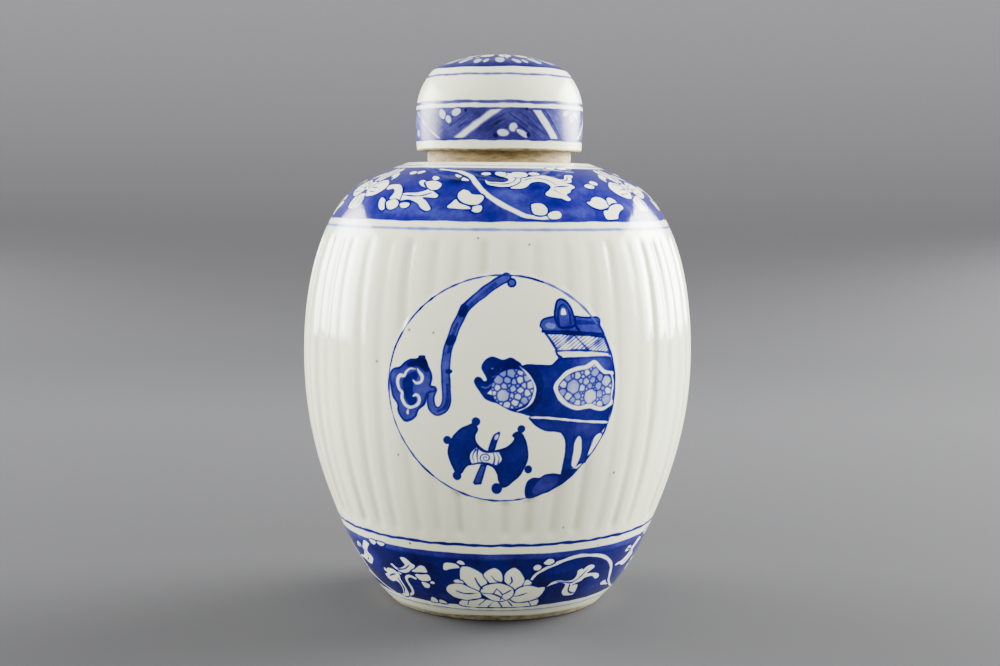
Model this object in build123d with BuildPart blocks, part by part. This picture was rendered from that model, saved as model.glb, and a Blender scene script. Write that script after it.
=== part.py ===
"""A ginger jar: a fired porcelain jar with a cap-shaped lid that lifts off its neck.

The jar stands on Z = 0 and its axis is the Z axis. Sizes are in millimetres.
"""
import os

from build123d import *

# The jar's body, which is turned about Z
body_height = 193.0       # floor to the thin edge where the shoulder ends
belly_radius = 85.8       # the widest part
belly_z = 114.0           # height of the widest part
wall = 5.0                # side wall and shoulder
base_thickness = 6.0      # floor of the jar, above the recess of the foot

# The foot ring that the jar stands on
foot_radius = 47.2        # at the table
foot_height = 6.0
foot_flare = 5.6          # how much wider the foot is at its top than at the table
foot_ring_width = 4.6
foot_recess = 5.5         # depth of the hollow under the base
foot_edge = 0.8           # rounding of both edges that meet the table

# The neck, the bare ledge round it and the thin raised edge where the shoulder ends
neck_radius = 31.5
neck_wall = 4.5
neck_height = 33.2        # above the ledge
neck_round = 1.4          # rounding of the neck's rim
ledge_width = 7.1         # from the neck to the raised edge
ledge_depth = 0.6         # how far the ledge lies below the raised edge
edge_width = 1.6

# The lid, a cap that hangs on the rim of the neck
lid_height = 42.0
lid_wall = 3.8            # thickness of its side at the rim
lid_swell = 0.7           # how much wider the side grows above the rim
lid_side_height = 11.4    # height of the side's widest part above the lid's rim
neck_clearance = 0.8      # between the neck and the inside of the lid's wall
seat_gap = 0.2            # between the neck's rim and the lid's seat
seat_width = 4.8          # flat ring of the lid's ceiling that sits on the neck
seat_height = 27.8        # the seat's height above the lid's rim
ceiling_thickness = 4.0   # at the middle of the lid
lid_edge = 1.2            # rounding of both edges of the lid's rim
lid_corner = 1.6          # rounding of the inside corner beside the seat

# Shape of each curve between its two ends, as (share of its width, share of its height)
flank_shape = [(0.188, 0.074), (0.528, 0.278), (0.866, 0.593)]
shoulder_shape = [(0.034, 0.253), (0.199, 0.620), (0.490, 0.861), (0.730, 0.940)]
crown_shape = [(0.028, 0.400), (0.141, 0.686), (0.223, 0.797), (0.424, 0.902)]
inside_shares = (0.88, 0.80, 0.70, 0.55, 0.40, 0.25, 0.12)  # of the outside's length


def between(start, end, shape):
    """Points on the way from start to end, at the shares that the shape lists."""
    width = end[0] - start[0]
    height = end[1] - start[1]
    return [(start[0] + across * width, start[1] + up * height) for across, up in shape]


# Heights and radii that follow from the sizes above
foot_top = (foot_radius + foot_flare, foot_height)
belly = (belly_radius, belly_z)
floor_z = foot_recess + base_thickness
foot_inner_radius = foot_radius - foot_ring_width
ledge_z = body_height - ledge_depth
ledge_radius = neck_radius + ledge_width
shoulder_end = (ledge_radius + edge_width, body_height)
neck_top = ledge_z + neck_height
bore_radius = neck_radius - neck_wall

seat_z = neck_top + seat_gap
lid_rim_z = seat_z - seat_height
lid_inner_radius = neck_radius + neck_clearance
rim = (lid_inner_radius + lid_wall, lid_rim_z)
lid_side = (rim[0] + lid_swell, lid_rim_z + lid_side_height)
apex = (0, lid_rim_z + lid_height)
seat_inner_radius = lid_inner_radius - seat_width - lid_corner
ceiling = (0, apex[1] - ceiling_thickness)

# The body of the jar, from the foot ring to the ledge that its neck stands on
with BuildPart() as jar_body:
    with BuildSketch(Plane.XZ):
        with BuildLine():
            outside = Spline(
                foot_top,
                *between(foot_top, belly, flank_shape),
                belly,
                *between(belly, shoulder_end, shoulder_shape),
                shoulder_end,
            )
            # The raised edge, the ledge and the mouth
            throat = (bore_radius, ledge_z - wall)
            Polyline(
                shoulder_end,
                (ledge_radius, body_height),
                (ledge_radius - ledge_depth, ledge_z),
                (bore_radius, ledge_z),
                throat,
            )
            # The inside follows the outside, one wall thickness in
            inside_points = []
            for share in inside_shares:
                along = outside % share
                inward = Vector(-along.Y, along.X)
                inside_points.append(outside @ share + inward * wall)
            floor_edge = (foot_inner_radius - wall, floor_z)
            Spline(throat, *inside_points, floor_edge)
            Polyline(
                floor_edge,
                (0, floor_z),
                (0, foot_recess),
                (foot_inner_radius, foot_recess),
                (foot_inner_radius, 0),
                (foot_radius, 0),
                foot_top,
            )
        make_face()
    revolve(axis=Axis.Z)
    fillet(jar_body.edges().filter_by(GeomType.CIRCLE).group_by(Axis.Z)[0], foot_edge)
jar_body.part.label = "jar_body"

# The neck: an upright tube, fired in one with the body, whose bore carries on the jar's mouth
with BuildPart() as neck:
    with BuildSketch(Plane.XY.offset(ledge_z)):
        Circle(neck_radius)
        Circle(bore_radius, mode=Mode.SUBTRACT)
    extrude(amount=neck_height)
    fillet(neck.edges().group_by(Axis.Z)[-1], neck_round)
neck.part.label = "neck"

# The lid: a cap whose flat inner ring sits on the neck's rim
with BuildPart() as lid:
    with BuildSketch(Plane.XZ):
        with BuildLine():
            Spline(
                rim,
                lid_side,
                *between(lid_side, apex, crown_shape),
                apex,
                tangents=[(0.12, 1), (-1, 0)],
            )
            Polyline(
                rim,
                (lid_inner_radius, lid_rim_z),
                (lid_inner_radius, seat_z),
                (seat_inner_radius, seat_z),
            )
            Spline((seat_inner_radius, seat_z), ceiling, tangents=[(-0.5, 1), (-1, 0)])
            Line(ceiling, apex)
        make_face()
    revolve(axis=Axis.Z)
    fillet(lid.edges().filter_by(GeomType.CIRCLE).group_by(Axis.Z)[0], lid_edge)
    seat_circles = lid.edges().filter_by(GeomType.CIRCLE).filter_by_position(Axis.Z, seat_z, seat_z)
    fillet(seat_circles.sort_by(SortBy.RADIUS)[-1], lid_corner)
lid.part.label = "lid"

os.makedirs("parts", exist_ok=True)
for piece in (jar_body, neck, lid):
    export_step(piece.part, f"parts/{piece.part.label}.step")
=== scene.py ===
"""A blue-and-white ginger jar: ribbed porcelain, painted in underglaze blue, with a lid that lifts off.

The jar's axis is Z and its front faces -Y. Meshes are worked out in millimetres and written in
metres. Angles go round the jar from the front, positive towards +X. The paint is held on the
vertices as an amount of cobalt, from 0, bare glaze, to 1, the darkest blue. A little below 0 the
glaze is darker in a groove, partly where glaze pools and partly as painted shade, and near -1 it
has a speck of iron in it.
"""

import math

import bpy
import numpy as np
from mathutils import Matrix, Vector


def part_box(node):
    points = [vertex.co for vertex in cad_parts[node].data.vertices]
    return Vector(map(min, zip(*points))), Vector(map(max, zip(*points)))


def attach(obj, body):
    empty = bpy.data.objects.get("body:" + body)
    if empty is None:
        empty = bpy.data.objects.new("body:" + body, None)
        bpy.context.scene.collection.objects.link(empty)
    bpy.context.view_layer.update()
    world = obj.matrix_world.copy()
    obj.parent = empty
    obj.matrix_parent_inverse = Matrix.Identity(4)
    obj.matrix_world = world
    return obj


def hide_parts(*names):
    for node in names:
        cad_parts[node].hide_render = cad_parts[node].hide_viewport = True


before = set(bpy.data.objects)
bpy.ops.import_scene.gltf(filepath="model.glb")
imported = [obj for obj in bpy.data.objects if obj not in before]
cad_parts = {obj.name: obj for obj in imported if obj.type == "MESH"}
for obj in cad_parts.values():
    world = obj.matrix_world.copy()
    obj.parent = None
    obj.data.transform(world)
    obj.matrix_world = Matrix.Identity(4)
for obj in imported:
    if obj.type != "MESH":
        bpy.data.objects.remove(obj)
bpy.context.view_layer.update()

MM = 0.001
CELL = 1.2    # size of a coarse cell, in mm
FINE = 4                             # fine cells across a coarse one, where the paint has an edge
DETAIL = 0.04                        # change of paint over a coarse cell that calls for fine ones

SECTOR = math.tau / 3                # three roundels, and three lotus blooms in each band
FRONT = math.radians(1.7)            # where the front roundel's middle stands
ROUNDEL_Z = 103.5                    # height of the roundels' middles
ROUNDEL_X, ROUNDEL_Y = 47.7, 45.2    # half their width and half their height
BELLY_LOW, BELLY_HIGH = 39.9, 164.4  # the white ribbed belly ends between its bands' lines
RIBS = 48
RIB_DEPTH = 0.62

# Sizes that the frame has no box for, in mm
FOOT_FLARE = 5.6                     # how much wider the foot is at its top than at the table
FOOT_RING = 4.6                      # width of the ring that it stands on
RECESS = 5.5                         # depth of the hollow under the base
FLOOR = 11.5                         # height of the jar's floor inside
WALL = 5.0
NECK_WALL = 4.5
EDGE_WIDTH = 1.6                     # of the thin raised edge where the shoulder ends
NECK_GAP = 0.8                       # between the neck and the lid
SEAT = 27.8                          # height above the lid's rim of the ring that rests on the neck
SEAT_WIDTH = 6.4
CEILING = 4.0                        # thickness of the lid at its middle


# ---------------------------------------------------------------- shapes read from the CAD frame

def outline(node, middle, first, last, step):
    """The outside of a turned CAD node, as (radius, height) points in mm.

    first, last and step are elevations in degrees, as seen from the axis at the height middle.
    """
    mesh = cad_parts[node].data
    flat = np.zeros(len(mesh.vertices) * 3)
    mesh.vertices.foreach_get("co", flat)
    x, y, z = flat.reshape(-1, 3).T / MM
    radius = np.hypot(x, y)
    elevation = np.degrees(np.arctan2(z - middle, radius))
    reach = np.hypot(radius, z - middle)
    found = []
    for low in np.arange(first, last, step):
        seen = np.flatnonzero((elevation >= low) & (elevation < low + step))
        if len(seen):
            best = seen[np.argmax(reach[seen])]
            found.append((radius[best], z[best]))
    return found


class Profile:
    """A smooth curve through (radius, height) points, by its length s in mm from the first one."""

    SAMPLES = 1500
    LEAST_RADIUS = 0.3         # keeps the turns finite where the curve ends on the axis

    def __init__(self, points):
        points = np.asarray(points, float)
        gaps = np.hypot(*np.diff(points, axis=0).T)
        at = np.r_[0, np.cumsum(gaps)]
        slope = np.gradient(points, at, axis=0)
        self.s = np.linspace(0, at[-1], self.SAMPLES)
        left = np.clip(np.searchsorted(at, self.s, "right") - 1, 0, len(at) - 2)
        width = (at[left + 1] - at[left])[:, None]
        t = (self.s - at[left])[:, None] / width
        curve = (
            (2 * t**3 - 3 * t**2 + 1) * points[left]
            + (t**3 - 2 * t**2 + t) * width * slope[left]
            + (3 * t**2 - 2 * t**3) * points[left + 1]
            + (t**3 - t**2) * width * slope[left + 1]
        )
        self.r, self.z = curve.T
        middle_r = np.maximum((self.r[1:] + self.r[:-1]) / 2, self.LEAST_RADIUS)
        self.turns = np.r_[0, np.cumsum(np.diff(self.s) / middle_r)]

    def radius(self, s):
        return np.interp(s, self.s, self.r)

    def height(self, s):
        return np.interp(s, self.s, self.z)

    def at_height(self, z):
        return np.interp(z, self.z, self.s)

    def conformal(self, s):
        """Length in radians of turn: a chart of this against the angle keeps painted shapes true."""
        return np.interp(s, self.s, self.turns)


_, jar_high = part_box("jar_body")
neck_low, neck_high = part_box("neck")
lid_low, lid_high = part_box("lid")
BODY_TOP, BELLY_R = jar_high.z / MM, jar_high.x / MM
NECK_R, LEDGE_Z, NECK_TOP = neck_high.x / MM, neck_low.z / MM, neck_high.z / MM
LID_BASE, LID_TOP, LID_R = lid_low.z / MM, lid_high.z / MM, lid_high.x / MM

jar_profile = Profile(outline("jar_body", middle=100, first=-61.7, last=66.8, step=2.6))
lid_points = outline("lid", middle=LID_BASE + 12, first=-17, last=88, step=3.0)
lid_profile = Profile(lid_points + [(0.0, LID_TOP)])
JAR_END = jar_profile.s[-1]
EDGE_R = jar_profile.r[-1]     # where the shoulder meets the raised edge round the ledge


# ---------------------------------------------------------------- meshes on a lattice

def edge(inside, soft):
    """0 outside an edge to 1 inside it, from a distance inside it, over a soft width."""
    return np.clip(inside / soft + 0.5, 0, 1)


def ripple(x, y, *waves):
    """A sum of sine waves, each given as (size, rate along x, rate along y, start)."""
    return sum(size * np.sin(along * x + up * y + start) for size, along, up, start in waves)


def coarse_count(length):
    """How many coarse cells a length in mm is divided into."""
    return max(1, math.ceil(length / CELL))


def lattice_faces(refined):
    """Faces of a lattice whose refined coarse cells are split FINE by FINE.

    A plain cell is one quad, but beside a refined one it is a fan from its middle, so that no vertex
    is left hanging. The first column is beside the last. Comes back as a list of arrays, shaped
    (faces, corners, 2), of (row, column) on the fine lattice.
    """
    below, above = np.zeros_like(refined), np.zeros_like(refined)
    below[1:], above[:-1] = refined[:-1], refined[1:]
    right, left = np.roll(refined, -1, 1), np.roll(refined, 1, 1)
    beside = ~refined & (below | above | left | right)

    def cells(mask):
        return np.argwhere(mask)[:, None, :] * FINE

    square = np.array([(0, 0), (0, 1), (1, 1), (1, 0)])
    small = np.array([(j, i) for j in range(FINE) for i in range(FINE)])
    faces = [
        cells(~refined & ~beside) + square * FINE,
        (cells(refined)[:, :, None, :] + small[None, :, None, :] + square).reshape(-1, 4, 2),
    ]
    middle = np.array([FINE // 2, FINE // 2])
    sides = (
        (below, (0, 0), (0, 1)),
        (right, (0, 1), (1, 0)),
        (above, (1, 1), (0, -1)),
        (left, (1, 0), (-1, 0)),
    )
    for neighbour, start, way in sides:
        start, way = np.array(start) * FINE, np.array(way)
        whole, split = cells(beside & ~neighbour), cells(beside & neighbour)
        faces.append(whole + np.array([start, start + way * FINE, middle]))
        for k in range(FINE):
            faces.append(split + np.array([start + way * k, start + way * (k + 1), middle]))
    return faces


def lattice_mesh(name, place, u, v, ink=None, bare=None, pooled_shade=0.0, around=False, pole=False):
    """An object over place(u, v) -> (points, 3) in mm, for fine columns u and fine rows v.

    ink and bare are the cobalt and the want of glaze on every fine lattice point; coarse cells that
    either varies over by more than DETAIL are refined. pooled is taken off the cobalt in the grooves,
    where it darkens the glaze, partly as glaze that pools there and partly as painted shade. around
    joins the last column to the first, and pole gathers the last row into one point.
    """
    empty = np.zeros((len(v), len(u)))
    ink = empty if ink is None else ink
    bare = empty if bare is None else bare
    last, width = len(v) - 1, len(u) - 1

    def spread(values):
        steps = range(FINE + 1)
        parts = [values[j:j + last:FINE, i:i + width:FINE] for j in steps for i in steps]
        return np.max(parts, axis=0) - np.min(parts, axis=0)

    groups = []
    for group in lattice_faces(np.maximum(spread(ink), spread(bare)) > DETAIL):
        if pole:
            flat = (group[:, :, 0] == last).sum(1) == 2
            if group.shape[1] == 4:
                groups.append(group[flat][:, :3])
            group = group[~flat]
        groups.append(group)
    corners = np.concatenate([g.reshape(-1, 2) for g in groups])
    sizes = np.concatenate([np.full(len(g), g.shape[1]) for g in groups])
    row, column = corners.T
    code = row * (width + 1) + (column % width if around else column)
    if pole:
        code[row == last] = last * (width + 1)
    used, index = np.unique(code, return_inverse=True)
    at_u, at_v = u[used % (width + 1)], v[used // (width + 1)]

    du, dv = (u[1] - u[0]) / 2, (v[1] - v[0]) / 2
    along = place(at_u + du, at_v) - place(at_u - du, at_v)
    up = place(at_u, np.minimum(at_v + dv, v[-1])) - place(at_u, np.maximum(at_v - dv, v[0]))
    normals = np.cross(along, up)
    size = np.linalg.norm(normals, axis=1, keepdims=True)
    normals = np.where(size > 1e-9, normals / np.maximum(size, 1e-9), (0.0, 0.0, 1.0))

    mesh = bpy.data.meshes.new(name)
    mesh.vertices.add(len(used))
    mesh.vertices.foreach_set("co", (place(at_u, at_v) * MM).ravel())
    mesh.loops.add(len(index))
    mesh.loops.foreach_set("vertex_index", index.ravel().astype(np.int32))
    mesh.polygons.add(len(sizes))
    mesh.polygons.foreach_set("loop_start", (np.cumsum(sizes) - sizes).astype(np.int32))
    mesh.update(calc_edges=True)
    mesh.polygons.foreach_set("use_smooth", np.ones(len(sizes), bool))
    uv = np.stack([column / width, row / last], 1) * 0.98 + 0.01
    mesh.uv_layers.new(name="OFBake").data.foreach_set("uv", uv.ravel())
    for layer, values in (("cobalt", ink - pooled_shade), ("bare", bare)):
        mesh.attributes.new(layer, "FLOAT", "POINT").data.foreach_set("value", values.ravel()[used])
    mesh.normals_split_custom_set_from_vertices(normals)
    return linked(name, mesh)


def linked(name, data):
    """A new object in the scene."""
    thing = bpy.data.objects.new(name, data)
    bpy.context.scene.collection.objects.link(thing)
    return thing


def polar(r, a, z):
    return np.stack([r * np.sin(a), -r * np.cos(a), z], 1)


def rounded(points):
    """A section of (radius, height, corner radius) points, with its corners turned as arcs."""
    flat = [np.array(point[:2], float) for point in points]
    out = flat[:1]
    for before, here, after, (_, _, corner) in zip(flat, flat[1:], flat[2:], points[1:]):
        if corner == 0:
            out.append(here)
            continue
        back, on = before - here, after - here
        start = here + back / np.linalg.norm(back) * corner
        end = here + on / np.linalg.norm(on) * corner
        for t in np.linspace(0, 1, 7):
            out.append((1 - t)**2 * start + 2 * t * (1 - t) * here + t**2 * end)
    return np.array(out + flat[-1:])


def turned(name, section, cell, columns, seed, waver=0.0, marks=0.0, bare=None):
    """An object turned from a section of (radius, height) points whose outward side is on its right.

    cell is its coarse cells' length in mm. waver is how far in mm the radius wanders round a turn,
    marks how deep the throwing rings are, and bare(radius, height, angle) gives the want of glaze.
    """
    gaps = np.hypot(*np.diff(section, axis=0).T)
    at = np.r_[0, np.cumsum(gaps)]
    v = np.unique(np.r_[np.linspace(0, at[-1], math.ceil(at[-1] / cell) * FINE + 1), at])
    v = v[np.r_[True, np.diff(v) > 1e-3]]
    while (len(v) - 1) % FINE:
        wide = np.argmax(np.diff(v))
        v = np.insert(v, wide + 1, (v[wide] + v[wide + 1]) / 2)
    u = np.linspace(-math.pi, math.pi, columns * FINE + 1)

    def on_section(s):
        return np.interp(s, at, section[:, 0]), np.interp(s, at, section[:, 1])

    def place(a, s):
        r, z = on_section(s)
        fade = np.clip(r / 20, 0, 1)
        r = r + fade * waver * ripple(a, z, (1.0, 3, 0.05, seed), (0.5, 5, 0.11, -2 * seed))
        r = r + fade * marks * np.sin(z * 2.1 + 0.3 * np.sin(2 * a + seed))
        return polar(r, a, z)

    unglazed = None
    if bare is not None:
        r, z = on_section(v)
        unglazed = bare(r[:, None], z[:, None], u[None, :])
    return lattice_mesh(name, place, u, v, bare=unglazed, around=True)


# ---------------------------------------------------------------- painting

WHITE = 0.03                   # a reserved shape keeps a breath of the wash
SOFT = 0.42                    # width in mm that a brush's edge fades over


def smooth_curve(points, closed, steps=5):
    """A Catmull-Rom curve through the points."""
    p = np.asarray(points, float)
    if len(p) < 3:
        return p
    ends = (p[-1:], p[:2]) if closed else (p[:1], p[-1:])
    q = np.vstack([ends[0], p, ends[1]])
    t = np.arange(steps)[:, None] / steps
    out = []
    for a, b, c, d in zip(q, q[1:], q[2:], q[3:]):
        square = (2 * a - 5 * b + 4 * c - d) * t**2
        cube = (3 * b - 3 * c + d - a) * t**3
        out.append(0.5 * (2 * b + (c - a) * t + square + cube))
    if not closed:
        out.append(p[-1:])
    return np.vstack(out)


def ellipse(x, y, rx, ry=None, tilt=0.0, count=20):
    t = np.linspace(0, math.tau, count, endpoint=False)
    c, s = math.cos(math.radians(tilt)), math.sin(math.radians(tilt))
    ex, ey = rx * np.cos(t), (ry or rx) * np.sin(t)
    return np.stack([x + c * ex - s * ey, y + s * ex + c * ey], 1)


def shrink(points, by):
    """An outline moved inwards by about so many mm."""
    p = np.asarray(points, float)
    way = np.roll(p, -1, 0) - np.roll(p, 1, 0)
    way /= np.linalg.norm(way, axis=1, keepdims=True)
    area = np.sum(p[:, 0] * np.roll(p[:, 1], -1) - np.roll(p[:, 0], -1) * p[:, 1])
    return p + by * math.copysign(1, area) * np.stack([-way[:, 1], way[:, 0]], 1)


def in_outline(points, x, y):
    p = np.asarray(points, float)
    q = np.roll(p, -1, 0)
    flips = (p[:, 1] > y) != (q[:, 1] > y)
    cross = p[:, 0] + (y - p[:, 1]) * (q[:, 0] - p[:, 0]) / np.where(flips, q[:, 1] - p[:, 1], 1)
    return np.count_nonzero(flips & (x < cross)) % 2 == 1


class Paint:
    """Cobalt brushed on a chart: columns at x, rows at y, both rising.

    Points are given in the painter's own units and turned into chart units by chart(points). size is
    how many mm a chart unit is at each row; period, if any, is how far the drawing repeats along x.
    """

    def __init__(self, x, y, size=1.0, chart=np.asarray, period=None):
        self.x, self.y, self.chart = x, y, chart
        self.size = np.broadcast_to(size, y.shape)
        self.shifts = (-period, 0, period) if period else (0,)
        self.ink = np.zeros((len(y), len(x)))
        gx, gy = np.meshgrid(x, y)
        # A hand's shake, in mm, on every edge
        self.shake = 0.06 * ripple(gx, gy, (1, 0.55, 0.4, 0), (1, 0.31, -0.8, 1), (1, 1.1, 0.35, 0))

    def gaps(self, line, half_widths, far, closed):
        """(rows, columns, mm from the stroke's edge, inside) on the part of the chart near a line."""
        near = far / np.interp(np.clip(line[:, 1], self.y[0], self.y[-1]), self.y, self.size).min()
        low, high = line.min(0) - near, line.max(0) + near
        columns = slice(*np.searchsorted(self.x, (low[0], high[0])))
        rows = slice(*np.searchsorted(self.y, (low[1], high[1])))
        x, y, size = self.x[columns], self.y[rows], self.size[rows, None]
        gap = np.full((len(y), len(x)), float(far))
        inside = np.zeros(gap.shape, bool)
        if not gap.size:
            return rows, columns, gap, inside
        after = np.roll(line, -1, 0) if closed else line[1:]
        for k, ((ax, ay), (bx, by)) in enumerate(zip(line, after)):
            c = slice(*np.searchsorted(x, (min(ax, bx) - near, max(ax, bx) + near)))
            r = slice(*np.searchsorted(y, (min(ay, by) - near, max(ay, by) + near)))
            px, py, dx, dy = x[None, c] - ax, y[r, None] - ay, bx - ax, by - ay
            t = np.clip((px * dx + py * dy) / max(dx * dx + dy * dy, 1e-12), 0, 1)
            half = half_widths[k] + t * (half_widths[(k + 1) % len(half_widths)] - half_widths[k])
            gap[r, c] = np.minimum(gap[r, c], np.hypot(px - t * dx, py - t * dy) * size[r] - half)
            if closed and ay != by:
                r = slice(*np.searchsorted(y, (min(ay, by), max(ay, by))))
                cross = ax + (y[r] - ay) * dx / dy
                inside[r] ^= x[None, :] > cross[:, None]
        return rows, columns, gap, inside

    def lay(self, rows, columns, cover, tone):
        """Paints a tone over a part of the chart, where cover is above 0."""
        self.ink[rows, columns] = self.ink[rows, columns] * (1 - cover) + tone * cover

    def fill(self, points, tone, rim=None, rim_width=0.6, soft=SOFT, smooth=True):
        """A filled shape, whose edge may be a line of the tone rim."""
        flat = self.chart(points)
        line = smooth_curve(flat, True) if smooth else flat
        for shift in self.shifts:
            rows, columns, gap, inside = self.gaps(line + (shift, 0), np.zeros(len(line)), 2.0, True)
            depth = np.where(inside, gap, -gap) + self.shake[rows, columns]
            shade = tone
            if rim is not None:
                shade = rim + (tone - rim) * edge(depth - rim_width, soft)
            self.lay(rows, columns, edge(depth, soft), shade)

    def line(self, points, width, tone, ends=(1.0, 1.0), soft=SOFT, closed=False, smooth=True):
        """A brush stroke; ends are the widths at its two ends as shares of its width."""
        flat = self.chart(points)
        line = smooth_curve(flat, closed) if smooth else flat
        t = np.linspace(0, 1, len(line))
        swell = [end + (1 - end) * 4 * way for end, way in zip(ends, (t, 1 - t))]
        half = width / 2 * np.minimum(1, np.minimum(*swell))
        for shift in self.shifts:
            rows, columns, gap, _ = self.gaps(line + (shift, 0), half, width / 2 + 0.6, closed)
            self.lay(rows, columns, edge(-gap - self.shake[rows, columns], soft), tone)

    def dot(self, x, y, r, tone, rim=None, rim_width=0.4, ry=None):
        self.fill(ellipse(x, y, r, ry), tone, rim, rim_width, smooth=False)

    def band(self, low, high, tone, waves=0.0):
        """A level band between two chart rows, with slightly uneven edges."""
        shift = waves * (np.sin(self.x * 0.23) + 0.6 * np.sin(self.x * 0.61))
        y = self.y[:, None]
        depth = np.minimum(y - low - shift, high + shift * 0.5 - y) * self.size[:, None]
        self.lay(slice(None), slice(None), edge(depth, SOFT), tone)

    def wash(self, *patches):
        """Thins or deepens the cobalt already there, over soft (x, y, half width, half height, amount)."""
        for x, y, rx, ry, amount in patches:
            (cx, cy), (ax, ay) = self.chart([(x, y)])[0], self.chart([(x + rx, y + ry)])[0]
            far = ((self.x[None, :] - cx) / (ax - cx))**2 + ((self.y[:, None] - cy) / (ay - cy))**2
            self.ink *= 1 + amount * np.exp(-2 * far) * (self.ink > 0.05)


def pebbles(paint, shape, big, seed, ground=0.8):
    """Round pebbles packed into an outline: the big ones as given, the rest by chance."""
    chance = np.random.default_rng(seed)
    smallest, largest, tries = 0.5, 1.35, 700
    border, grout, tone = 0.34, 0.1, 0.2
    outer = smooth_curve(shape, True)
    paint.fill(shape, ground)
    low, high = outer.min(0), outer.max(0)
    stones = list(big)
    for size in np.linspace(largest, smallest, 9):
        for _ in range(tries):
            x, y = low + (high - low) * chance.random(2)
            r = size * (0.92 + 0.16 * chance.random())
            if any(math.hypot(x - sx, y - sy) < r + sr - 0.05 for sx, sy, sr in stones):
                continue
            near = np.hypot(outer[:, 0] - x, outer[:, 1] - y).min()
            if near > r * 0.7 and in_outline(outer, x, y):
                stones.append((x, y, r))
    # Each stone spreads until it nearly meets its neighbours
    rows, columns, gap, inside = paint.gaps(outer, np.zeros(len(outer)), 2.0, True)
    gx, gy = np.meshgrid(paint.x[columns], paint.y[rows])
    far = np.stack([np.hypot(gx - x, gy - y) - r for x, y, r in stones])
    first, second = np.sort(far, axis=0)[:2]
    room = np.minimum(border - first, (second - first) / 2 - grout)
    room = np.minimum(room, np.where(inside, gap, -gap) - grout)
    tones = tone * (0.5 + chance.random(len(stones)))[far.argmin(0)]
    ring = 0.55
    paint.lay(rows, columns, edge(room, 0.3), ring + (tones - ring) * edge(room - 0.25, 0.4))


def basket(p):
    """Plaited cane round the censer's neck: triangles of hatching, leaning to and fro."""
    corners = [(17.4, 21.9), (21.2, 16.2), (28.5, 21.6), (34.5, 15.9), (41.8, 20.4), (44.2, 14.9)]
    for k, (a, b, c) in enumerate(zip(corners, corners[1:], corners[2:])):
        for t in np.linspace(0.14, 0.9, 6):
            start = (a[0] + (c[0] - a[0]) * t, a[1] + (c[1] - a[1]) * t)
            lean = (b[0] - a[0], b[1] - a[1]) if k % 2 else (b[0] - c[0], b[1] - c[1])
            reach = (1 - t) if k % 2 else t
            end = (start[0] + lean[0] * reach, start[1] + lean[1] * reach)
            p.line([start, end], 0.3, 0.6)
    for a, b in zip(corners, corners[1:]):
        p.line([a, b], 0.4, 0.75)


def paint_censer(p):
    """The tripod censer's body, skirt and legs, and the rocks under them."""
    p.fill([(7.3, 10), (17.7, 10.2), (19.5, 10.7), (21.4, 12.5), (22.7, 13), (36.4, 13), (44, 12.8),
            (45.5, 11.6), (46.6, 8.5), (47.3, 2.5), (46.6, -7.5), (45.2, -12), (44.3, -13.7), (36, -12.9),
            (27, -11.8), (18, -10.6), (11.3, -10.3), (7, -6), (5, 2)], 0.86, rim=0.96, rim_width=0.7)
    p.wash((38, 10, 12, 6, -0.3), (18, 6, 8, 5, -0.12))
    p.fill([(10.7, -10.5), (11.4, -12.1), (13.6, -14.4), (16.8, -16), (22.7, -16.9), (24, -17.5),
            (25.7, -20.3), (26.1, -23.5), (25.9, -27.5), (25.5, -31.6), (25.2, -34.4), (27.3, -34.4),
            (29.4, -32.4), (31.6, -32), (33.6, -30.6), (35.9, -30.3), (36.4, -28), (37.3, -24.4),
            (38.6, -20.3), (42, -18.2), (44.3, -14.2), (36, -13.4), (27, -12.3), (18, -11.1)], 0.82,
           rim=0.97, rim_width=0.6)
    p.wash((34, -16, 8, 4, -0.18))
    p.fill([(30.2, -21.6), (31.8, -18.9), (33.2, -20.7), (33.4, -25.3), (32.5, -29.8), (31.4, -32.1),
            (29.9, -31.5), (29.5, -29.8), (29.8, -25.3)], 0.0)
    p.line([(35.9, -30), (36.9, -27), (38.2, -23), (39.6, -19.4), (42.3, -18.4)], 0.9, 0.9)
    p.fill([(39.2, -19.6), (42.2, -18.4), (41.1, -21.6), (39, -24.4), (36.6, -27.5), (37.9, -23.5)], 0.0)
    p.line([(11.3, -10.6), (18, -10.9), (27, -12.1), (36, -13.2), (44.3, -14)], 1.0, 0.0)
    p.fill([(10, -38.5), (10.9, -36.6), (13.2, -35.5), (15.9, -35.5), (18.2, -34.4), (21.4, -33.8),
            (25, -34.4), (27.3, -33.9), (29, -32.5), (31.8, -32.3), (32.7, -33.2), (31.8, -34.4),
            (29, -36.6), (26.4, -38.9), (21.8, -41.2), (15.5, -43.5), (13.2, -44.4), (10.9, -44.1),
            (9.8, -41.6)], 0.9)
    p.fill([(13, -41.2), (15, -37.5), (18.2, -35), (22.7, -34.9), (24.4, -36.2), (23.4, -38.9), (19.6, -41),
            (15.5, -42.6)], 0.72)


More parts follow.
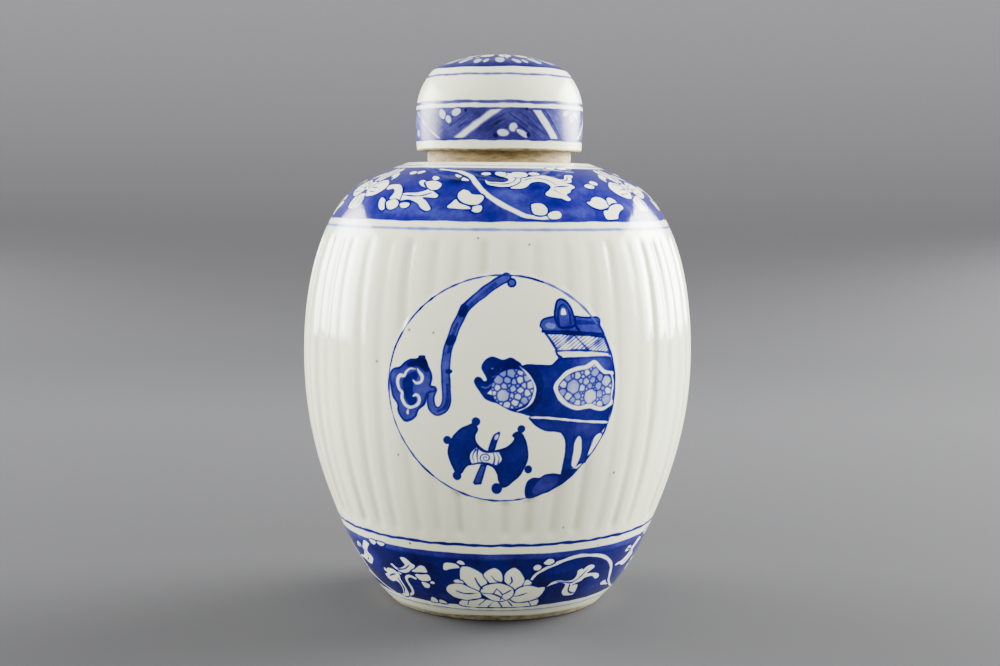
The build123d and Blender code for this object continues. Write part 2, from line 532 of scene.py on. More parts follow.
def paint_censer_neck(p):
    """The censer's rim and handle, and its neck of basket-work."""
    p.fill([(14, 25.4), (14.8, 27.5), (16.8, 28.7), (20, 29.3), (28.9, 29.4), (31.8, 28.9), (36.4, 28.7),
            (39.5, 28.5), (40.7, 27.1), (40.5, 25.3), (42, 22.5), (42.3, 20.7), (39.1, 20.3), (30, 21.4),
            (25, 21.9), (18.2, 22.3), (15.7, 23), (14.8, 24.4)], 0.62, rim=0.93, rim_width=0.6)
    p.fill([(29.5, 27.6), (35, 27.2), (39.6, 27), (39.4, 25.6), (34, 25.6), (29.6, 26)], 0.78)
    p.fill(ellipse(18.6, 25.6, 2.2, 1.2, -8), 0.42)
    p.line([(15.4, 23.4), (25, 23.1), (34, 22.3), (41.8, 21.6)], 0.9, 0.95)
    p.line([(29, 28.6), (29.3, 25.5), (30.6, 23.6)], 0.8, 1.0)
    p.fill([(20.2, 28.4), (20.4, 32.5), (21.2, 35.3), (23.2, 36.2), (25.7, 35.2), (27.8, 32.5), (28.8, 29.8),
            (29.4, 26), (27, 24.4), (22.4, 24.6)], 0.66, rim=0.95, rim_width=0.8)
    p.line([(22.1, 25.6), (21.9, 30), (22.6, 32.6), (24, 33.6), (25.6, 32.6), (26.8, 29.9), (27.2, 26)],
           0.7, 0.9)
    p.fill([(23.1, 29.7), (23.3, 31.4), (24.1, 32.2), (25, 31.2), (25.2, 29.8)], 0.0)
    p.fill([(16.8, 22.3), (42.6, 20.6), (44.8, 13.2), (22.4, 13.2), (20.6, 15.2)], 0.06, smooth=False)
    basket(p)
    p.line([(16.6, 22.5), (18.9, 19.4), (20.9, 16.2)], 0.8, 0.85)
    p.line([(20.6, 15.6), (21.6, 13.9), (23, 13)], 0.8, 0.9)
    p.line([(21, 15.6), (30, 15.7), (38, 15), (44.4, 14.2)], 0.7, 0.85)
    p.line([(16.9, 22.6), (27, 22.2), (36, 21.3), (42.4, 20.4)], 0.8, 0.95)
    p.line([(42.4, 20.4), (43.6, 17), (44.4, 13.4)], 0.6, 0.7)


def paint_cartouche(p):
    """The lobed panel of pebbles on the censer's body."""
    cartouche = [(21, 1), (23, 4.5), (26, 7), (30, 8.3), (33.5, 8.7), (36, 9.8), (37.5, 10.5), (39.5, 8.5),
                 (42, 6.5), (45.5, 5.8), (46.6, 2), (46.4, -3), (46, -6), (42.5, -8), (39, -7.8),
                 (35.7, -6.6), (31, -7.2), (26.5, -6), (23, -3)]
    p.fill(cartouche, 0.0, soft=0.4)
    p.line(cartouche[-1:] + cartouche[:10], 2.0, 0.0)
    p.line(cartouche[12:] + cartouche[:1], 2.0, 0.0)
    pebbles(p, shrink(cartouche, 0.7), [(28.3, 1.3, 2.6), (35.8, -2.8, 2.8), (43, 2.8, 2), (33.8, 3.2, 1.4),
                                        (32, 0.5, 1.4), (43.5, -4.5, 2), (37.6, 6.6, 1.5)], 11)


def paint_beast(p):
    """The beast's head that the censer ends in, with its round panel of pebbles."""
    p.fill([(-8.9, 9.4), (-7.7, 11.6), (-5.9, 13.2), (-4.1, 13.5), (-0.7, 12.5), (2.7, 13.2), (5, 12.1),
            (6.6, 11), (7.6, 10), (13, 9.6), (16, 2), (13.5, -6), (10.5, -9.5), (8.2, -9.3), (5.9, -8.7),
            (2.7, -7.7), (0, -6.4), (-2.7, -4.8), (-5, -4.2), (-7.3, -3), (-9.1, -0.7), (-10, 0.7),
            (-11.1, 2.5), (-11.5, 4.1), (-10.5, 5.5), (-8.9, 5.3), (-7.7, 3.9), (-6.6, 4.3), (-7, 5.7),
            (-8.2, 7.5)], 0.92)
    p.fill([(-6.5, -1), (-4.8, 0.7), (-4, -1.6)], 0.0, smooth=False)
    p.dot(-4.5, 8.9, 1.0, 0.3, rim=1.0, ry=0.75)
    p.line([(-4.6, 5.6), (-2.4, 6.4), (-1, 9)], 0.5, 0.6)
    p.line([(-8.6, 1.6), (-6.6, 1.3), (-4.8, 2.6)], 0.5, 0.55)
    panel = ellipse(3.6, 0.9, 8.4, 8.0, 0, 16)
    pebbles(p, panel, [(-0.2, -1.7, 2.5), (3, 7, 1.7), (-1.9, 4.4, 1.6), (6.4, 4.6, 1.4),
                       (4.6, -4.7, 1.4)], 5, ground=0.88)
    p.line([(6.2, 9.8), (8.8, 7.5), (11.1, 4.6), (12.4, 1.6), (12.3, -0.9), (11.4, -3.7), (9.1, -6.4),
            (5.5, -7.9)], 1.0, 0.02, ends=(0.4, 0.4))
    p.line([(7.6, 9.9), (10.3, 7.5), (12.5, 4.6), (13.7, 1.5), (13.5, -1.2), (12.5, -4.4), (10, -7.3)],
           1.0, 0.97, ends=(0.5, 0.5))


def paint_shaft(p):
    """The ruyi sceptre's bent shaft, which runs over the ring at its top."""
    shaft = [(1, 44.4), (-4, 41.6), (-10, 37), (-15.5, 32.2), (-19, 25), (-21, 20), (-22.3, 15), (-23.1, 10),
             (-23, 5), (-22.6, 0), (-22.7, -4.5), (-24.2, -7.8), (-26.8, -8.8), (-28.8, -7), (-29.2, -3.5),
             (-28.2, -0.3)]
    p.line(shaft, 3.8, 0.86, ends=(1.0, 0.9))
    p.line(shaft, 2.6, 0.6, ends=(1.0, 0.7))
    p.line([(-3.6, 41.6), (-9.8, 36.8), (-15, 32)], 1.5, 0.74)
    p.line([(-18.6, 26), (-20.6, 20.6), (-21.8, 15)], 1.2, 0.78)
    p.line([(-22.3, 2), (-22.2, -3), (-23.4, -7), (-26.2, -8.6)], 1.3, 0.8)
    p.line([(-16.9, 30.4), (-16, 32.2)], 3.4, 0.95)
    p.line([(-21.5, 19), (-20.6, 20.2)], 3.2, 0.95)
    p.fill(ellipse(-21.6, 7.4, 1.4, 1.0), 0.9)
    p.line([(-1, 44.9), (-6, 42.3), (-12, 37.6), (-17.6, 31.6)], 0.6, 0.85)
    p.dot(3, 42.2, 1.9, 0.55, rim=0.97, rim_width=0.6)


def paint_cloud(p):
    """The sceptre's head, a cloud with a scroll in it."""
    head = [(-31.8, 13.2), (-34.3, 13.2), (-35, 12.1), (-38.2, 11.6), (-40.2, 10.5), (-42.5, 8.5),
            (-45, 7.8), (-46.8, 6.2), (-47.5, 3.5), (-47.3, 0.7), (-46.4, -3.9), (-44.3, -7.1),
            (-44.3, -8.9), (-43.6, -11.2), (-41.8, -13.5), (-40, -13.9), (-37.3, -13), (-35.5, -11.2),
            (-34.5, -8.9), (-31.8, -6.6), (-30.9, -3.5), (-30, -1.9), (-26.6, -0.7), (-27.3, 1.3),
            (-28.9, 1.6), (-28.4, 4.4), (-28.9, 7.1), (-30.5, 9.8), (-31.4, 12.1)]
    p.fill(head, 0.66, rim=0.86, rim_width=0.9)
    p.fill([(-32, 12.4), (-36, 11.6), (-39.6, 9.4), (-38, 8.6), (-34.6, 9), (-31.2, 6.6), (-29.8, 8)], 0.95)
    p.fill([(-36, 6.6), (-39, 5.4), (-41.4, 2.8), (-41, -0.6), (-40, -4.6), (-38.4, -6.8), (-36, -6),
            (-35.4, -4), (-36.8, -1), (-36.4, 1.4), (-35.2, 3.6), (-34.6, 5.4)], 0.9)
    scrolls = ([(-34.8, 7.8), (-33.8, 6.3), (-32.9, 5.1), (-32.8, 3.9), (-33.5, 2.6), (-35.3, 2.1),
                (-36.6, 3.1)],
               [(-35.7, 7.7), (-38, 7.7), (-39.8, 6.3), (-40.6, 4.8), (-42.5, 4.8), (-43.6, 3.2),
                (-43.6, 1.1), (-42.8, -0.9), (-41.7, -2), (-41.9, -3.7), (-41.4, -5.4), (-40.2, -7.1),
                (-38.3, -7.8), (-36.1, -7.2), (-34.6, -6), (-34, -4.4), (-34.6, -3), (-35.7, -2.6),
                (-36.7, -3.2)])
    for scroll in scrolls:
        p.line(scroll, 1.4, 0.05, ends=(0.5, 0.4))
    p.fill([(-39.1, -8.5), (-40.1, -9.9), (-39.5, -10.9), (-38.8, -10.4)], 0.1)


def paint_axe(p):
    """A double-headed axe, tied across its haft with a bow."""
    p.fill([(-12.5, -37.5), (-11.8, -38.5), (-8.9, -38.2), (-6.4, -29.8), (-9.1, -29.8)], 0.7, rim=0.95,
           smooth=False)
    p.fill([(-11.8, -13.2), (-14.5, -13.9), (-17.3, -15.5), (-19.5, -17.5), (-20.9, -19.4), (-22.3, -22.1),
            (-22.7, -25.3), (-22, -28.9), (-20.5, -32.1), (-19.8, -33.2), (-17.3, -33.9), (-15.5, -31.6),
            (-13.6, -30.3), (-10, -29.6), (-7.7, -29.8), (-5.5, -30.3), (-3.6, -31.6), (-2.3, -33.9),
            (-1.8, -36.6), (0, -39.4), (2.3, -38.9), (4.5, -37.1), (6.8, -35), (8.4, -33.2), (9.8, -29.8),
            (10.5, -26.2), (10.2, -23), (9.3, -19.8), (8.2, -17.5), (6.8, -16.4), (5, -16.4), (3.6, -17.8),
            (4.5, -19.1), (2.7, -21.6), (0, -23), (-2.7, -23.9), (-5, -24.1), (-7.3, -23.7), (-9.5, -22.1),
            (-10.8, -20.3), (-11, -18), (-10, -15.3)], 0.88, rim=1.0, rim_width=0.7)
    for x, y, r in ((-10.8, -12.3, 1.7), (-22.7, -20.3, 1.8), (-19.2, -34.9, 1.9), (-2.3, -39.8, 2.3),
                    (10.7, -31.9, 1.7), (7.4, -15.2, 1.6)):
        p.dot(x, y, r, 0.88)
    p.fill([(-10.5, -22.3), (-12.7, -23.9), (-13.9, -26.2), (-13.6, -28.5), (-12.7, -29.8), (-10, -29.4),
            (-6.5, -29.4), (-3.6, -30.5), (-1.8, -30.3), (-0.2, -28.5), (0, -27), (-1, -25), (-2, -24.3),
            (-7.5, -24.3)], 0.05, rim=0.9, rim_width=0.5)
    turn = np.linspace(0, 11, 34)
    spiral_x = -7 + (0.3 + 0.2 * turn) * np.cos(turn)
    spiral_y = -27.1 + (0.25 + 0.17 * turn) * np.sin(turn)
    p.line(np.stack([spiral_x, spiral_y], 1), 0.42, 0.8, smooth=False)
    folds = ([(-11, -23.6), (-12.3, -26.2), (-11.8, -29)], [(-10.2, -23.4), (-10.5, -26.6), (-10.1, -29.2)],
             [(-2.6, -24.8), (-1.5, -27.2), (-2, -29.8)], [(-4, -24.6), (-3.3, -27), (-3.7, -29.8)])
    for fold in folds:
        p.line(fold, 0.4, 0.75)
    p.fill([(-6.1, -23.9), (-4.6, -19.6), (-3.4, -17.3), (-1.4, -16.2), (-1.3, -18), (-2.5, -21.2),
            (-3.6, -23.9)], 0.8, rim=0.97)
    p.fill(ellipse(-2.5, -18.4, 0.75, 1.3, -25), 0.15, smooth=False)


def paint_ring(p):
    """The ring round them all, with darker stretches where the brush was fuller."""
    ring = ellipse(-0.2, 0, ROUNDEL_X, ROUNDEL_Y, 0, 96)
    p.line(np.vstack([ring, ring[:1]]), 0.62, 0.8, soft=0.4, smooth=False)
    stretches = ((35, 68, 0.45), (150, 160, 0.97), (128, 136, 0.97), (222, 232, 0.97), (70, 78, 0.97))
    for first, last, tone in stretches:
        t = np.radians(np.linspace(first, last, 12))
        arc = np.stack([-0.2 + ROUNDEL_X * np.cos(t), ROUNDEL_Y * np.sin(t)], 1)
        p.line(arc, 0.75, tone, soft=0.4, smooth=False)


def paint_roundel(p):
    """Antiquities in a ring; points are in mm from its middle."""
    for paint_part in (paint_censer, paint_censer_neck, paint_cartouche, paint_beast, paint_shaft,
                       paint_cloud, paint_axe, paint_ring):
        paint_part(p)


def reserve(p, shapes, rim=0.97, lines=(), tone=WHITE):
    """Shapes left white in the blue ground, each with a thin outline, and the lines drawn in them."""
    for shape in shapes:
        p.line(shape, 1.0, rim, closed=True)
        p.fill(shape, tone)
    for stroke in lines:
        p.line(stroke, 0.55, 0.82, ends=(0.6, 0.6))


def paint_shoulder_ground(p):
    """The blue ground, darker and lighter in places, between two thin lines."""
    high, low = p.chart([(0, 6.8), (0, 42.4)])[:, 1]
    p.band(low, high, 0.84, waves=0.12)
    p.ink *= np.interp(p.height, (168, 174, 182, 188), (0.94, 0.84, 0.94, 1.0))[:, None]
    for level, width, tone in ((4.0, 1.0, 0.3), (45.8, 1.15, 0.34)):
        p.line([(x, level) for x in np.linspace(-62, 62, 40)], width, tone, soft=0.9)
    p.wash((-33, 36, 9, 5, -0.14), (-3, 38, 8, 4, 0.1), (1, 28, 6, 4, -0.2), (19, 34, 6, 4, 0.22),
           (33, 26, 5, 4, -0.18), (-8, 11, 9, 4, 0.12), (26, 10, 9, 3, -0.12), (0, 18, 4, 3, 0.2),
           (48, 39, 8, 4, 0.1), (-17, 20, 6, 6, 0.22), (-48, 34, 5, 6, 0.12), (14, 24, 4, 3, 0.16),
           (-26, 39, 12, 3, -0.16), (24, 38, 9, 3, -0.14), (8, 30, 5, 3, -0.12))


def paint_shoulder_scroll(p):
    """The stems, and the leaves in front."""
    stem = [(-30, 9), (-25.5, 9.8), (-20, 10.8), (-17, 12.3), (-13, 15), (-11, 17.5), (-9.5, 20.5),
            (-7.5, 24), (-5, 28), (-2, 31.5), (2, 35), (6, 38), (9, 39.8), (14, 40.5), (19, 40.3)]
    p.line(stem, 2.3, WHITE, ends=(0.35, 0.6))
    p.line([(38, 11), (31, 9.6), (24, 8.6), (17, 8.4)], 0.7, 0.12, ends=(0.5, 0.5))
    reserve(p, [
        [(-5.5, 19), (-4, 20.3), (0, 20.8), (3, 20.3), (4, 18.5), (2.5, 16.5), (0, 15.3), (-1.8, 13.5),
         (-1.5, 11.5), (1, 11.3), (3, 12), (5.5, 12.5), (6.2, 11.5), (9, 11.2), (12, 12), (12.8, 14),
         (11.5, 16), (9.5, 16.8), (9.3, 18), (8.5, 20.5), (6, 23), (3, 24.3), (-1, 23.8), (-4.5, 22.3)],
        ellipse(15.9, 13, 2.6, 1.7), ellipse(-5.6, 13.3, 2.2, 1.6),
        [(9.5, 17.5), (13, 16.2), (17, 15), (20, 14.5), (23, 16), (26, 18.3), (28.3, 17.5), (29.5, 15),
         (31, 13.8), (34, 14.2), (33.5, 15.8), (31.8, 17.5), (30.5, 20), (29, 21), (27, 21), (29.3, 22.5),
         (29.7, 24.5), (27.5, 25.8), (26.5, 27.5), (24.5, 29), (25.5, 31.5), (24, 32.3), (22, 31),
         (20.5, 30.8), (17, 29.5), (16.8, 28), (18.5, 26), (19.8, 24), (19.3, 22), (17.5, 20.5),
         (15, 20.2), (12.5, 21.5), (10.5, 23.8), (8, 25.3), (4, 25), (6.5, 23), (8.8, 20.3)],
        [(-14.3, 29), (-13.5, 27), (-12.7, 26.3), (-11, 27), (-9.5, 28.8), (-8, 29.2), (-6, 29.2),
         (-5, 30.5), (-5.5, 32.5), (-7, 34.2), (-9.5, 34.6), (-12, 33.5), (-13.8, 31.5)],
        [(-9.2, 37), (-8.5, 35.6), (-6, 34.8), (-5.3, 36), (-5.8, 37.8), (-7.5, 38.3)],
        [(10.6, 35.5), (11, 34), (13, 33.6), (15, 34.3), (16, 36.5), (15.2, 38.8), (13, 39.5), (11, 38.5)],
        [(15.8, 39), (17.5, 37.5), (19.5, 37.5), (20.3, 39), (19.3, 40.8), (16.5, 41)],
        [(-19.3, 14.3), (-17, 15.2), (-15.8, 16), (-16.5, 17), (-18, 16.5)],
        [(-15, 16.8), (-12, 19.5), (-13.5, 20), (-15, 19.5)],
    ], lines=[
        [(10, 19.5), (12, 18), (15, 17.3), (18, 17.8), (20.5, 19.5), (22.3, 22.5)], [(20.5, 26), (23, 29)],
        [(21, 24.5), (23, 23.8), (27, 23.5)], [(-3.5, 21.6), (2, 22.2), (5.5, 20.5), (7, 17.5)],
        [(6, 16.5), (9, 17.2), (12, 16.2)], [(3.2, 12.2), (3.6, 14.2), (2.4, 15.6)],
        [(30.5, 16.2), (28.6, 18.8), (26, 19.6)],
    ])
    reserve(p, [[(-16.9, 36), (-16, 33.8), (-14.6, 31.8), (-13, 33.8), (-10.5, 35), (-9.4, 35.6),
                 (-9.2, 36.7), (-13, 36.5)]])


def paint_shoulder_sides(p):
    """The curled leaves left of the front, and the cluster right of it, under the next bloom."""
    reserve(p, [
        [(-36.6, 29.4), (-33.5, 28.6), (-30.5, 28.6), (-28.2, 27.6), (-27, 26.2), (-30.4, 24.2),
         (-32.2, 22.5), (-33, 21), (-32, 19.8), (-29.6, 20.6), (-27.4, 21.6), (-25.6, 24), (-24.4, 27),
         (-23, 28.2), (-21.4, 29.8), (-22, 31.2), (-25, 31), (-27.2, 31.2), (-25.2, 33), (-23.4, 35.4),
         (-22.6, 37), (-24.2, 37.8), (-26.4, 36.4), (-27.8, 34.4), (-30, 33.2), (-33, 32.4), (-36, 32.8)],
        [(-30, 21.5), (-27, 20.3), (-24.5, 20.8), (-22.3, 23), (-22.5, 26), (-24.5, 26.8), (-27, 25.5)],
        [(-28.8, 16.3), (-26.5, 16.7), (-25.1, 18.6), (-26.6, 19.7), (-28.3, 18.3)],
        [(-46.5, 24), (-43.5, 23.3), (-40.5, 24), (-38.2, 26), (-36.8, 29), (-36.2, 32.6), (-38, 32.2),
         (-40.2, 32.6), (-41, 31.6), (-40.6, 29.6), (-41.2, 27.6), (-43, 26.3), (-45.4, 27), (-46.4, 26.2)],
        [(-45.2, 31.5), (-45.4, 33.5), (-44, 36.5), (-42.2, 38), (-40.8, 37.4), (-41.2, 35.6), (-42, 34.4),
         (-42.8, 32.6)],
        [(-41.6, 34.2), (-40.4, 33), (-38, 32.4), (-36, 33.8), (-35.8, 36), (-38, 37.5), (-40, 36.8)],
        [(-35, 34.5), (-33, 33.8), (-31.2, 34.2), (-31.3, 36), (-33, 36.6), (-34.6, 35.8)],
        ellipse(-43, 13, 2.2, 1.7, 20), ellipse(-38.4, 12.2, 2.2, 1.5, -15),
    ], lines=[[(-36.4, 29.9), (-33, 30.2), (-30, 30.4), (-27, 29.8), (-24.6, 28.6)]])
    reserve(p, [
        [(31.2, 33), (33, 32.5), (34.3, 31), (36.5, 30), (39, 31), (40.7, 33.5), (39.5, 35.5), (36, 36.5),
         (33, 35.5)],
        [(40.8, 31.3), (42.5, 30.3), (44.5, 31.5), (44.8, 33.3), (42.5, 34), (40.5, 34.5)],
        [(36.8, 37.5), (39, 36.8), (41, 34.8), (44, 33.8), (46.5, 34.5), (46.8, 36), (44.5, 37.5),
         (42.5, 39.5), (41.5, 41), (37, 41.2)],
        ellipse(27, 6.9, 2.4, 1.5), ellipse(34, 6.8, 2.8, 1.6), ellipse(37, 23.6, 2.4, 1.6),
        ellipse(41, 21, 2.0, 1.6),
    ])


def both_sides(shapes):
    """Shapes, and their mirror images across the bloom's middle, 60 degrees left of the front."""
    return shapes + [[(-120 - x, y) for x, y in shape] for shape in shapes]


def paint_shoulder_bloom(p):
    """The lotus bloom, halfway between two roundels."""
    petals = [
        [(-59, 26), (-58, 23), (-55, 20.5), (-52, 20), (-49, 22), (-47.5, 25), (-48.5, 28), (-51, 30),
         (-54, 31), (-57, 30)],
        [(-63, 30), (-61, 29.3), (-58, 30.5), (-56, 32), (-55.8, 35), (-57, 37.3), (-60, 37.5), (-62.5, 35)],
        [(-58.5, 21), (-57, 19), (-56, 15), (-55, 11), (-56, 8.5), (-58, 8), (-61, 11), (-62, 14),
         (-61, 17)],
        [(-54.5, 16.5), (-51.5, 18), (-50.5, 20), (-49.5, 17), (-51.5, 14), (-54.2, 12.6)],
    ]
    veins = [[(-58, 25.3), (-53, 25.7)], [(-57.4, 16), (-58.5, 11)], [(-56, 23), (-52.5, 21.5)],
             [(-56, 28), (-51.5, 28.5)], [(-58.6, 31), (-58, 35)]]
    reserve(p, both_sides(petals), rim=0.9, lines=both_sides(veins) + [[(-60, 21), (-60, 9)]])
    p.dot(-60, 24.3, 3.1, WHITE, rim=0.8, ry=3.3)
    p.line([(-62, 23.4), (-60, 25.6), (-58.2, 23.4)], 0.4, 0.8)


def paint_shoulder(p):
    """Lotus scroll on blue; points are (degrees from the front, mm down from the raised edge)."""
    for paint_part in (paint_shoulder_ground, paint_shoulder_scroll, paint_shoulder_sides,
                       paint_shoulder_bloom):
        paint_part(p)


def paint_base_ground(p):
    """The blue ground between two lines, thinner along its top, and the stems over it."""
    low, high = p.chart([(0, 8.4), (0, 34.3)])[:, 1]
    p.band(low, high, 0.92, waves=0.12)
    p.ink *= 1 - 0.22 * np.clip((p.height[:, None] - 31.2) / 1.2, 0, 1)
    across = np.linspace(-62, 62, 60)
    for level, width, tone in ((5.9, 1.0, 0.4), (38.3, 1.3, 0.84)):
        wavy = level + 0.12 * np.sin(across * 0.35) + 0.1 * np.sin(across * 0.9)
        p.line(np.stack([across, wavy], 1), width, tone)
    p.wash((-22, 12, 7, 3, -0.2), (24, 26, 7, 4, -0.12), (44, 14, 7, 4, -0.16), (-52, 26, 6, 4, -0.14))
    p.line([(13.5, 22), (15, 24.5), (17.5, 26.5), (20, 28), (24, 29.8), (28, 31), (32, 31.3), (36, 30.7),
            (40, 29.8), (44, 28), (47, 26), (50, 23), (52.5, 19), (55, 15), (59, 12), (64, 9.8),
            (68, 8.6)], 1.7, WHITE, ends=(0.7, 0.6))
    p.line([(-41, 9.5), (-38, 11), (-37, 13.5), (-37.5, 17), (-37, 19), (-35, 20.2), (-32.5, 19.5)],
           1.5, WHITE)
    p.line([(-42.8, 18.4), (-40.5, 20.4), (-37.6, 21.9), (-34.6, 24)], 1.6, WHITE)


def paint_base_left(p):
    """The leaves left of the bloom."""
    reserve(p, [
        [(-48, 8.3), (-45, 9.5), (-43.3, 12), (-43, 14.5), (-44.5, 15.8), (-47, 15), (-49.5, 16),
         (-49.8, 18), (-48, 19), (-49, 20.2), (-48.5, 21.5), (-47, 21), (-46, 21.8), (-43.5, 22),
         (-41.5, 21), (-40.5, 19.5), (-41, 17), (-40.2, 13), (-41.2, 9.6), (-44, 7.9)],
        [(-42.8, 24), (-42, 24.8), (-40, 23.2), (-37.6, 23.8), (-35.4, 25.4), (-36.2, 27.3), (-36.6, 28.8),
         (-35, 29.3), (-33.5, 28.7), (-32, 27), (-30.5, 25.8), (-33, 23.3), (-36, 21.5), (-39, 21.3)],
        [(-33, 22.8), (-31, 24.5), (-29, 26.3), (-27, 26.5), (-26, 25), (-26.5, 23.3)],
        [(-32, 21.5), (-29, 22.2), (-26, 22.5), (-25.3, 20.5), (-26, 19.3), (-30, 19)],
        [(-30, 18.2), (-27, 18), (-26.5, 17), (-27.5, 15.7), (-29.5, 15.7)],
        [(-26.3, 18.5), (-25, 19.5), (-23.8, 18.8), (-25, 17.8)],
        [(-50.4, 34.2), (-50, 32.5), (-48.5, 32), (-47, 33), (-46.8, 34.2)],
        [(-46.2, 34.2), (-46, 32.8), (-44, 32.3), (-42.5, 33.2), (-42.4, 34.2)],
        [(-29.5, 8.3), (-28.8, 10.5), (-27.5, 11), (-26, 10), (-26, 8.3)],
        [(-25, 8.3), (-24.8, 10), (-23, 9.8), (-21.5, 8.3)],
    ], lines=[[(-44, 9.6), (-41.9, 13), (-42.2, 17.6)], [(-40, 22.4), (-36, 23.6), (-33, 26)],
              [(-47, 17.8), (-44.6, 19), (-42.8, 19.6)]])


def paint_base_right(p):
    """The leaves right of the bloom, and the buds beside it."""
    reserve(p, [
        [(20, 17.5), (22, 18.7), (24.5, 19.3), (27, 18.8), (28.3, 17.5), (28, 14.5), (29.2, 12.5),
         (30.3, 12), (33, 11.5), (35, 12), (35, 15), (34.2, 17), (32, 17), (33.5, 18), (35.5, 18.5),
         (37, 19.8), (40, 20), (42, 19), (43.5, 18), (45, 18.7), (43.5, 20.5), (40, 21.7), (37, 22),
         (38, 23), (39.5, 24), (39.3, 25.3), (37.5, 26), (35.5, 25.5), (34.5, 24.5), (33.5, 25), (32, 24),
         (32.3, 22), (31.3, 20), (28, 19.7), (25, 20.5), (22, 19.8)],
        [(49.5, 14.5), (52, 15.5), (54, 14), (57.5, 12), (51, 13.1)],
        [(56.3, 28.3), (58, 30.3), (60, 29.8), (61, 28.5), (63, 30.5), (65, 32.5), (68, 31.5), (66, 29.5),
         (64, 27), (66, 24.5), (63, 21), (60, 20.5), (57, 21.7), (53.5, 22), (54.5, 23.2), (58, 23.8),
         (61, 26.5), (60, 27.8), (57, 27.7)],
        [(13.5, 28), (15, 29), (16.5, 28), (15.8, 26.5), (14, 26.5)],
        [(17, 29.5), (18.5, 31.3), (20.5, 31), (21, 29.5), (19, 28.5)],
        [(-19.2, 26.3), (-18.5, 28.8), (-16.5, 29.5), (-14, 29.2), (-12.8, 27.5), (-14.5, 27), (-16.5, 26.5),
         (-18.3, 25.6)],
        [(-13.7, 30), (-12.5, 31), (-11, 30.3), (-10.8, 29), (-12.5, 29)],
    ], lines=[[(24, 19.9), (28, 19.1), (31, 18.5), (33.5, 20), (35, 21.8), (36.6, 24)],
              [(30.5, 17.5), (31, 14.5), (33, 13), (34.6, 12.8)],
              [(57.4, 29), (61.4, 27.6), (62.4, 24), (60, 22.2)]])


def paint_base_bloom(p):
    """The lotus bloom: its lower leaves and side buds, then its petals."""
    reserve(p, [
        [(-14.5, 8), (-14.3, 11), (-6, 12.5), (0, 11.3), (6, 12), (14, 10.7), (18, 11.5), (18.5, 9),
         (17, 8.3), (2, 8.0)],
        [(-16, 20.5), (-15, 21.5), (-13, 21.5), (-12, 20), (-14, 19.3)],
        [(10.7, 20.5), (12, 22), (13.8, 20.5), (13, 19), (10.5, 19)],
    ], rim=0.85, lines=[[(-11, 11.5), (-12, 8.7)], [(-4, 12), (-7, 9)], [(-0.5, 11.5), (-3, 8.3)],
                        [(1, 11.5), (2.8, 8.5)], [(5, 11.8), (7.3, 8.8)], [(14, 10.8), (15.8, 8.5)]])
    reserve(p, [
        [(-13.2, 22), (-12.5, 27), (-11, 28.2), (-9, 28), (-6, 26), (-4, 24), (-3, 21.5), (-3.5, 19.5),
         (-5.3, 18.3), (-6, 16.5), (-8, 17), (-10.5, 19), (-12.3, 21.5)],
        [(3, 22), (3.3, 24.5), (4.5, 26.5), (6.5, 28), (8.5, 26.5), (10, 24), (10.7, 22), (10.2, 19.5),
         (8.8, 17.5), (7.5, 16), (6, 18.3), (4, 20.5)],
        [(-4.3, 24.5), (-3, 26.5), (-1, 27.8), (0.5, 27.7), (2, 26), (2.7, 23.5), (2.4, 21.3), (0, 21),
         (-2, 20.5), (-3, 22)],
        [(-19.8, 15.5), (-18.5, 18), (-16.5, 19.2), (-13, 19.5), (-10, 18), (-6.5, 16), (-5.8, 14.5),
         (-6, 13), (-9, 12), (-12, 11.4), (-15, 11.8), (-18, 13)],
        [(7.5, 16), (9, 18), (12, 19), (14.5, 18.8), (17, 17.8), (19.5, 17.8), (19.5, 15.5), (18, 12.8),
         (15, 11.3), (11, 10.6), (8, 11), (6, 13)],
        [(-5.7, 16), (-4.5, 18.8), (-1, 20.3), (3, 20.2), (6.5, 18), (7.3, 15.5), (6, 13), (3, 11.5),
         (0, 11.5), (-3, 13)],
    ], rim=0.88, lines=[
        [(-7.5, 22.8), (-6.5, 20), (-5, 17.5)], [(-1.5, 24.2), (0, 22), (2, 21)],
        [(5.7, 23.7), (6.2, 21.5), (5.5, 20)], [(-15.7, 15.8), (-12, 14.7), (-7, 15.3)],
        [(12.7, 15.3), (9, 14), (7.5, 14)], [(-5.7, 15.5), (0, 14.8), (4, 12)],
        [(0.5, 17.8), (2, 16.2), (3, 15), (6, 17)], [(-0.8, 15.2), (0.5, 17.8)], [(3, 15), (2, 12)],
    ])


def paint_base(p):
    """Lotus scroll on blue round the foot; points are (degrees from the front, height in mm)."""
    for paint_part in (paint_base_ground, paint_base_left, paint_base_right, paint_base_bloom):
        paint_part(p)


def paint_hatching(p, low, high):
    """Short slanting strokes by chance, which lean with the bars on each side of them."""
    chance = np.random.default_rng(3)
    for _ in range(190):
        x, z = -90 + 180 * chance.random(), low + 2.5 + (high - low - 3.2) * chance.random()
        lean = 1 if x > 46 or -44 < x < 5 else -1
        reach = 2 + 5 * chance.random()
        rise = lean * reach * 0.42
        tone = 0.62 + 0.22 * math.cos(math.radians(x * 2.2)) + 0.3 * (chance.random() - 0.5)
        width = 0.3 + 0.5 * chance.random()
        p.line([(x - reach, z - rise), (x, z), (x + reach, z + rise)], width, tone, ends=(0.3, 0.3))


